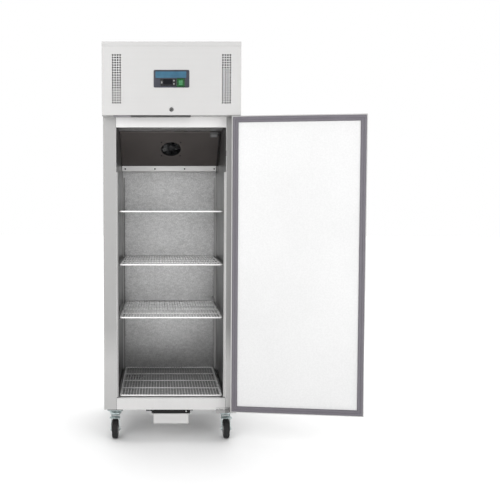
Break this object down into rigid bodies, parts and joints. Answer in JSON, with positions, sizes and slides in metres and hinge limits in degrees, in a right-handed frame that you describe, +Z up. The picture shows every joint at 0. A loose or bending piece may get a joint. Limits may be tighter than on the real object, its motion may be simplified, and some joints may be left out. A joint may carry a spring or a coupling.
{
  "type": "reach-in refrigerator",
  "caption": "Upright single-door stainless refrigerator with wire shelves, a header-mounted cooling unit, castors and a drip tray; modelled with its door standing open.",
  "frame": {"origin": "on the floor, under the centre of the cabinet's footprint", "axes": "+Z up; the front and the door face -Y; +X is to the right as seen from the front, the hinge side"},
  "size_m": [1.2798, 0.9192, 2.01],
  "materials": {
    "stainless": "satin",
    "liner_steel": "satin",
    "foam": "matte",
    "strip_plastic": "satin",
    "black_paint": "satin",
    "galvanised": "satin",
    "dark_panel": "satin",
    "black_plastic": "satin",
    "aluminium": "satin",
    "white_plastic": "satin",
    "black_rubber": "matte",
    "copper": "satin",
    "grey_plastic": "satin",
    "panel_plastic": "satin",
    "display": "gloss",
    "button_plastic": "satin",
    "green_lens": "gloss",
    "nickel": "polished",
    "zinc": "satin",
    "white_coating": "gloss",
    "door_liner": "satin",
    "gasket": "matte",
    "castor_rubber": "matte"
  },
  "bodies": {
    "cabinet": {"outer_shell": "stainless", "foam_insulation": "foam", "inner_liner": "liner_steel", "face_frame": "stainless", "breaker_strips": "strip_plastic", "underframe": "black_paint", "header_fascia": "stainless", "header_sides": "stainless", "header_lid": "stainless", "rear_grille": "galvanised", "rack_uprights": "stainless", "shelf_runners": "stainless", "evaporator_cover": "dark_panel", "fan_frame": "black_plastic", "evaporator_coil": "aluminium", "drain_pan": "aluminium", "drain_pipe": "white_plastic", "probe_lead": "black_rubber", "door_sensor": "black_plastic", "compressor": "black_paint", "condenser_coil": "aluminium", "condenser_shroud": "black_plastic", "refrigerant_pipes": "copper", "electrical_box": "grey_plastic", "power_inlet": "black_plastic", "control_bezel": "panel_plastic", "thermostat": "display", "lock_housing": "nickel", "hinge_brackets": "zinc", "caster_plates": "zinc", "tray_rails": "black_paint", "panel_screws": "nickel"},
    "shelf_1": {"shelf_1": "white_coating"},
    "shelf_2": {"shelf_2": "white_coating"},
    "shelf_3": {"shelf_3": "white_coating"},
    "shelf_4": {"shelf_4": "white_coating"},
    "evaporator_rotor": {"evaporator_fan": "black_plastic"},
    "condenser_rotor": {"condenser_fan": "black_plastic"},
    "button_set_body": {"button_set": "button_plastic"},
    "button_up_body": {"button_up": "button_plastic"},
    "button_down_body": {"button_down": "button_plastic"},
    "rocker": {"power_rocker": "green_lens"},
    "lock": {"lock_barrel": "nickel"},
    "door": {"door_skin": "stainless", "door_foam": "foam", "door_panel": "door_liner", "door_gasket": "gasket", "door_grip": "black_plastic", "hinge_bushes": "white_plastic"},
    "tray": {"drip_tray": "stainless"},
    "castor_1": {"caster_fork_1": "zinc"},
    "wheel_1": {"caster_wheel_1": "castor_rubber"},
    "castor_2": {"caster_fork_2": "zinc"},
    "wheel_2": {"caster_wheel_2": "castor_rubber"},
    "castor_3": {"caster_fork_3": "zinc"},
    "wheel_3": {"caster_wheel_3": "castor_rubber"},
    "castor_4": {"caster_fork_4": "zinc"},
    "wheel_4": {"caster_wheel_4": "castor_rubber"},
    "pedal_1": {"brake_pedal_1": "zinc"},
    "pedal_2": {"brake_pedal_2": "zinc"}
  },
  "joints": [
    {"name": "door_hinge", "type": "hinge", "parent": "cabinet", "child": "door", "pos_m": [0.31, -0.376, 0], "axis": [0, 0, 1], "range_deg": [-172.8, 7.2]},
    {"name": "shelf_1_slide", "type": "slide", "parent": "cabinet", "child": "shelf_1", "axis": [0, -1, 0], "range_m": [0, 0.45]},
    {"name": "shelf_2_slide", "type": "slide", "parent": "cabinet", "child": "shelf_2", "axis": [0, -1, 0], "range_m": [0, 0.45]},
    {"name": "shelf_3_slide", "type": "slide", "parent": "cabinet", "child": "shelf_3", "axis": [0, -1, 0], "range_m": [0, 0.45]},
    {"name": "shelf_4_slide", "type": "slide", "parent": "cabinet", "child": "shelf_4", "axis": [0, -1, 0], "range_m": [0, 0.45]},
    {"name": "tray_slide", "type": "slide", "parent": "cabinet", "child": "tray", "axis": [0, -1, 0], "range_m": [0, 0.3]},
    {"name": "castor_1_swivel", "type": "hinge", "parent": "cabinet", "child": "castor_1", "pos_m": [-0.29, -0.195, 0.14], "axis": [0, 0, 1], "continuous": true},
    {"name": "wheel_1_spin", "type": "hinge", "parent": "castor_1", "child": "wheel_1", "pos_m": [-0.29, -0.23, 0.05], "axis": [1, 0, 0], "continuous": true},
    {"name": "castor_2_swivel", "type": "hinge", "parent": "cabinet", "child": "castor_2", "pos_m": [0.29, -0.195, 0.14], "axis": [0, 0, 1], "continuous": true},
    {"name": "wheel_2_spin", "type": "hinge", "parent": "castor_2", "child": "wheel_2", "pos_m": [0.29, -0.23, 0.05], "axis": [1, 0, 0], "continuous": true},
    {"name": "castor_3_swivel", "type": "hinge", "parent": "cabinet", "child": "castor_3", "pos_m": [-0.29, 0.3, 0.14], "axis": [0, 0, 1], "continuous": true},
    {"name": "wheel_3_spin", "type": "hinge", "parent": "castor_3", "child": "wheel_3", "pos_m": [-0.29, 0.335, 0.05], "axis": [1, 0, 0], "continuous": true},
    {"name": "castor_4_swivel", "type": "hinge", "parent": "cabinet", "child": "castor_4", "pos_m": [0.29, 0.3, 0.14], "axis": [0, 0, 1], "continuous": true},
    {"name": "wheel_4_spin", "type": "hinge", "parent": "castor_4", "child": "wheel_4", "pos_m": [0.29, 0.335, 0.05], "axis": [1, 0, 0], "continuous": true},
    {"name": "pedal_1_press", "type": "hinge", "parent": "castor_1", "child": "pedal_1", "pos_m": [-0.29, -0.222, 0.108], "axis": [1, 0, 0], "range_deg": [0, 8]},
    {"name": "pedal_2_press", "type": "hinge", "parent": "castor_2", "child": "pedal_2", "pos_m": [0.29, -0.222, 0.108], "axis": [1, 0, 0], "range_deg": [0, 8]},
    {"name": "lock_turn", "type": "hinge", "parent": "cabinet", "child": "lock", "pos_m": [0, -0.4, 1.682], "axis": [0, -1, 0], "range_deg": [0, 90]},
    {"name": "rocker_press", "type": "hinge", "parent": "cabinet", "child": "rocker", "pos_m": [0.045, -0.4, 1.811], "axis": [1, 0, 0], "range_deg": [-10, 0]},
    {"name": "set_press", "type": "slide", "parent": "cabinet", "child": "button_set_body", "axis": [0, 1, 0], "range_m": [0, 0.0008], "stiffness_N_per_m": 1200, "springref_m": -0.0008},
    {"name": "up_press", "type": "slide", "parent": "cabinet", "child": "button_up_body", "axis": [0, 1, 0], "range_m": [0, 0.0008], "stiffness_N_per_m": 1200, "springref_m": -0.0008},
    {"name": "down_press", "type": "slide", "parent": "cabinet", "child": "button_down_body", "axis": [0, 1, 0], "range_m": [0, 0.0008], "stiffness_N_per_m": 1200, "springref_m": -0.0008},
    {"name": "evaporator_fan_spin", "type": "hinge", "parent": "cabinet", "child": "evaporator_rotor", "pos_m": [0.005, 0.08012, 1.5322], "axis": [0, 0.6339, 0.7734], "continuous": true},
    {"name": "condenser_fan_spin", "type": "hinge", "parent": "cabinet", "child": "condenser_rotor", "pos_m": [0.15, -0.161, 1.805], "axis": [0, 1, 0], "continuous": true}
  ]
}
